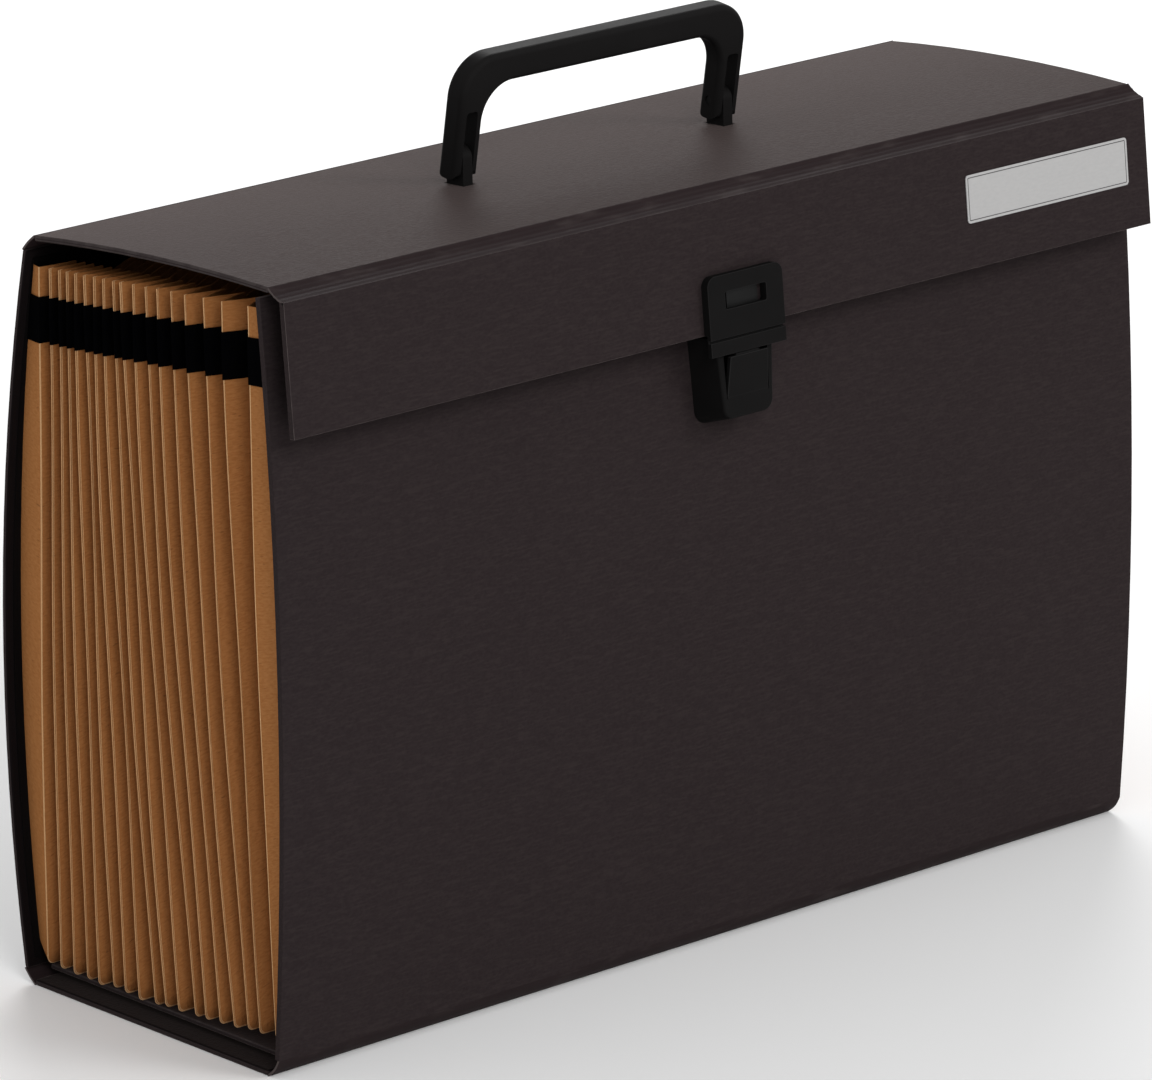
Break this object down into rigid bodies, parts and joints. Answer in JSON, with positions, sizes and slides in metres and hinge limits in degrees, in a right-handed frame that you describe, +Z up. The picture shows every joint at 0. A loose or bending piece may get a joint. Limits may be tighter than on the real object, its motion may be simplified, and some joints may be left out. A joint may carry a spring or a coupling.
{
  "type": "portable file box",
  "caption": "Expanding file box: a bowed board cover round pleated paper pockets, with a lid and flap, a bail handle on the lid and a press latch on the front.",
  "frame": {"origin": "middle of the underside of the base", "axes": "+Z up, +X along the long side, -Y towards the front, where the flap and latch are"},
  "size_m": [0.39, 0.1404, 0.2975],
  "materials": {
    "cover": "dark brown grained covering paper, semi-matt",
    "lining": "dark matt paper",
    "floor_card": "card covered with dark paper",
    "kraft": "brown kraft paper, matt",
    "tape": "black gummed tape",
    "black_plastic": "black moulded plastic, satin",
    "dark_steel": "blackened steel",
    "pin_steel": "plain steel",
    "label": "plain pale label"
  },
  "bodies": {
    "case": {"base_board": "cover", "back_board": "cover", "base_back_hinge": "cover", "base_front_hinge": "cover", "lid_hinge_strip": "cover", "back_lining": "lining", "floor_board": "floor_card", "bottom_gusset": "kraft", "left_gusset": "kraft", "right_gusset": "kraft", "left_band": "tape", "right_band": "tape"},
    "front_panel": {"front_board": "cover", "front_lining": "lining", "latch_case": "black_plastic", "latch_backing_plate": "black_plastic", "latch_rivets": "pin_steel"},
    "lid": {"lid_board": "cover", "lid_lining": "lining", "flap_hinge_strip": "cover", "handle_lug_left": "black_plastic", "handle_lug_right": "black_plastic", "handle_backing_plate": "black_plastic"},
    "flap": {"flap_board": "cover", "hasp_plate": "black_plastic", "hasp_strip": "dark_steel", "hasp_rivets": "pin_steel", "hasp_backing_plate": "black_plastic", "blank_label": "label"},
    "handle": {"handle_grip": "black_plastic", "handle_pins": "pin_steel"},
    "tongue": {"latch_tongue": "black_plastic"},
    "sheet_01": {"divider_01": "kraft"},
    "sheet_02": {"divider_02": "kraft"},
    "sheet_03": {"divider_03": "kraft"},
    "sheet_04": {"divider_04": "kraft"},
    "sheet_05": {"divider_05": "kraft"},
    "sheet_06": {"divider_06": "kraft"},
    "sheet_07": {"divider_07": "kraft"},
    "sheet_08": {"divider_08": "kraft"},
    "sheet_09": {"divider_09": "kraft"},
    "sheet_10": {"divider_10": "kraft"},
    "sheet_11": {"divider_11": "kraft"},
    "sheet_12": {"divider_12": "kraft"},
    "sheet_13": {"divider_13": "kraft"},
    "sheet_14": {"divider_14": "kraft"},
    "sheet_15": {"divider_15": "kraft"},
    "sheet_16": {"divider_16": "kraft"},
    "sheet_17": {"divider_17": "kraft"}
  },
  "joints": [
    {"name": "lid_hinge", "type": "hinge", "parent": "case", "child": "lid", "pos_m": [0, 0.06055, 0.24724], "axis": [-1, 0, 0], "range_deg": [0, 180]},
    {"name": "flap_hinge", "type": "hinge", "parent": "lid", "child": "flap", "pos_m": [0, -0.05501, 0.25473], "axis": [-1, 0, 0], "range_deg": [0, 160]},
    {"name": "handle_pivot", "type": "hinge", "parent": "lid", "child": "handle", "pos_m": [-0.003, 0.00365, 0.26303], "axis": [1, 0, 0], "range_deg": [-100, 80]},
    {"name": "tongue_press", "type": "hinge", "parent": "front_panel", "child": "tongue", "pos_m": [0, -0.06675, 0.1884], "axis": [-1, 0, 0], "range_deg": [0, 5], "stiffness_Nm_per_rad": 0.3},
    {"name": "front_panel_tilt", "type": "hinge", "parent": "case", "child": "front_panel", "pos_m": [0, -0.05845, 0.00277], "axis": [1, 0, 0], "range_deg": [0, 16]},
    {"name": "sheet_01_turn", "type": "hinge", "parent": "case", "child": "sheet_01", "pos_m": [0, -0.05845, 0.00277], "axis": [1, 0, 0], "range_deg": [0, 0.8889]},
    {"name": "sheet_02_turn", "type": "hinge", "parent": "case", "child": "sheet_02", "pos_m": [0, -0.05845, 0.00277], "axis": [1, 0, 0], "range_deg": [0, 1.78]},
    {"name": "sheet_03_turn", "type": "hinge", "parent": "case", "child": "sheet_03", "pos_m": [0, -0.05845, 0.00277], "axis": [1, 0, 0], "range_deg": [0, 2.67]},
    {"name": "sheet_04_turn", "type": "hinge", "parent": "case", "child": "sheet_04", "pos_m": [0, -0.05845, 0.00277], "axis": [1, 0, 0], "range_deg": [0, 3.56]},
    {"name": "sheet_05_turn", "type": "hinge", "parent": "case", "child": "sheet_05", "pos_m": [0, -0.05845, 0.00277], "axis": [1, 0, 0], "range_deg": [0, 4.44]},
    {"name": "sheet_06_turn", "type": "hinge", "parent": "case", "child": "sheet_06", "pos_m": [0, -0.05845, 0.00277], "axis": [1, 0, 0], "range_deg": [0, 5.33]},
    {"name": "sheet_07_turn", "type": "hinge", "parent": "case", "child": "sheet_07", "pos_m": [0, -0.05845, 0.00277], "axis": [1, 0, 0], "range_deg": [0, 6.22]},
    {"name": "sheet_08_turn", "type": "hinge", "parent": "case", "child": "sheet_08", "pos_m": [0, -0.05845, 0.00277], "axis": [1, 0, 0], "range_deg": [0, 7.11]},
    {"name": "sheet_09_turn", "type": "hinge", "parent": "case", "child": "sheet_09", "pos_m": [0, -0.05845, 0.00277], "axis": [1, 0, 0], "range_deg": [0, 8]},
    {"name": "sheet_10_turn", "type": "hinge", "parent": "case", "child": "sheet_10", "pos_m": [0, -0.05845, 0.00277], "axis": [1, 0, 0], "range_deg": [0, 8.89]},
    {"name": "sheet_11_turn", "type": "hinge", "parent": "case", "child": "sheet_11", "pos_m": [0, -0.05845, 0.00277], "axis": [1, 0, 0], "range_deg": [0, 9.78]},
    {"name": "sheet_12_turn", "type": "hinge", "parent": "case", "child": "sheet_12", "pos_m": [0, -0.05845, 0.00277], "axis": [1, 0, 0], "range_deg": [0, 10.67]},
    {"name": "sheet_13_turn", "type": "hinge", "parent": "case", "child": "sheet_13", "pos_m": [0, -0.05845, 0.00277], "axis": [1, 0, 0], "range_deg": [0, 11.56]},
    {"name": "sheet_14_turn", "type": "hinge", "parent": "case", "child": "sheet_14", "pos_m": [0, -0.05845, 0.00277], "axis": [1, 0, 0], "range_deg": [0, 12.44]},
    {"name": "sheet_15_turn", "type": "hinge", "parent": "case", "child": "sheet_15", "pos_m": [0, -0.05845, 0.00277], "axis": [1, 0, 0], "range_deg": [0, 13.33]},
    {"name": "sheet_16_turn", "type": "hinge", "parent": "case", "child": "sheet_16", "pos_m": [0, -0.05845, 0.00277], "axis": [1, 0, 0], "range_deg": [0, 14.22]},
    {"name": "sheet_17_turn", "type": "hinge", "parent": "case", "child": "sheet_17", "pos_m": [0, -0.05845, 0.00277], "axis": [1, 0, 0], "range_deg": [0, 15.11]}
  ],
  "couplings": [
    {"joint": "front_panel_tilt", "follows": "lid_hinge", "ratio": 0.088888},
    {"joint": "sheet_01_turn", "follows": "lid_hinge", "ratio": 0.004938},
    {"joint": "sheet_02_turn", "follows": "lid_hinge", "ratio": 0.009876},
    {"joint": "sheet_03_turn", "follows": "lid_hinge", "ratio": 0.014815},
    {"joint": "sheet_04_turn", "follows": "lid_hinge", "ratio": 0.019753},
    {"joint": "sheet_05_turn", "follows": "lid_hinge", "ratio": 0.024691},
    {"joint": "sheet_06_turn", "follows": "lid_hinge", "ratio": 0.029629},
    {"joint": "sheet_07_turn", "follows": "lid_hinge", "ratio": 0.034567},
    {"joint": "sheet_08_turn", "follows": "lid_hinge", "ratio": 0.039506},
    {"joint": "sheet_09_turn", "follows": "lid_hinge", "ratio": 0.044444},
    {"joint": "sheet_10_turn", "follows": "lid_hinge", "ratio": 0.049382},
    {"joint": "sheet_11_turn", "follows": "lid_hinge", "ratio": 0.054321},
    {"joint": "sheet_12_turn", "follows": "lid_hinge", "ratio": 0.059259},
    {"joint": "sheet_13_turn", "follows": "lid_hinge", "ratio": 0.064197},
    {"joint": "sheet_14_turn", "follows": "lid_hinge", "ratio": 0.069135},
    {"joint": "sheet_15_turn", "follows": "lid_hinge", "ratio": 0.074073},
    {"joint": "sheet_16_turn", "follows": "lid_hinge", "ratio": 0.079012},
    {"joint": "sheet_17_turn", "follows": "lid_hinge", "ratio": 0.08395}
  ]
}
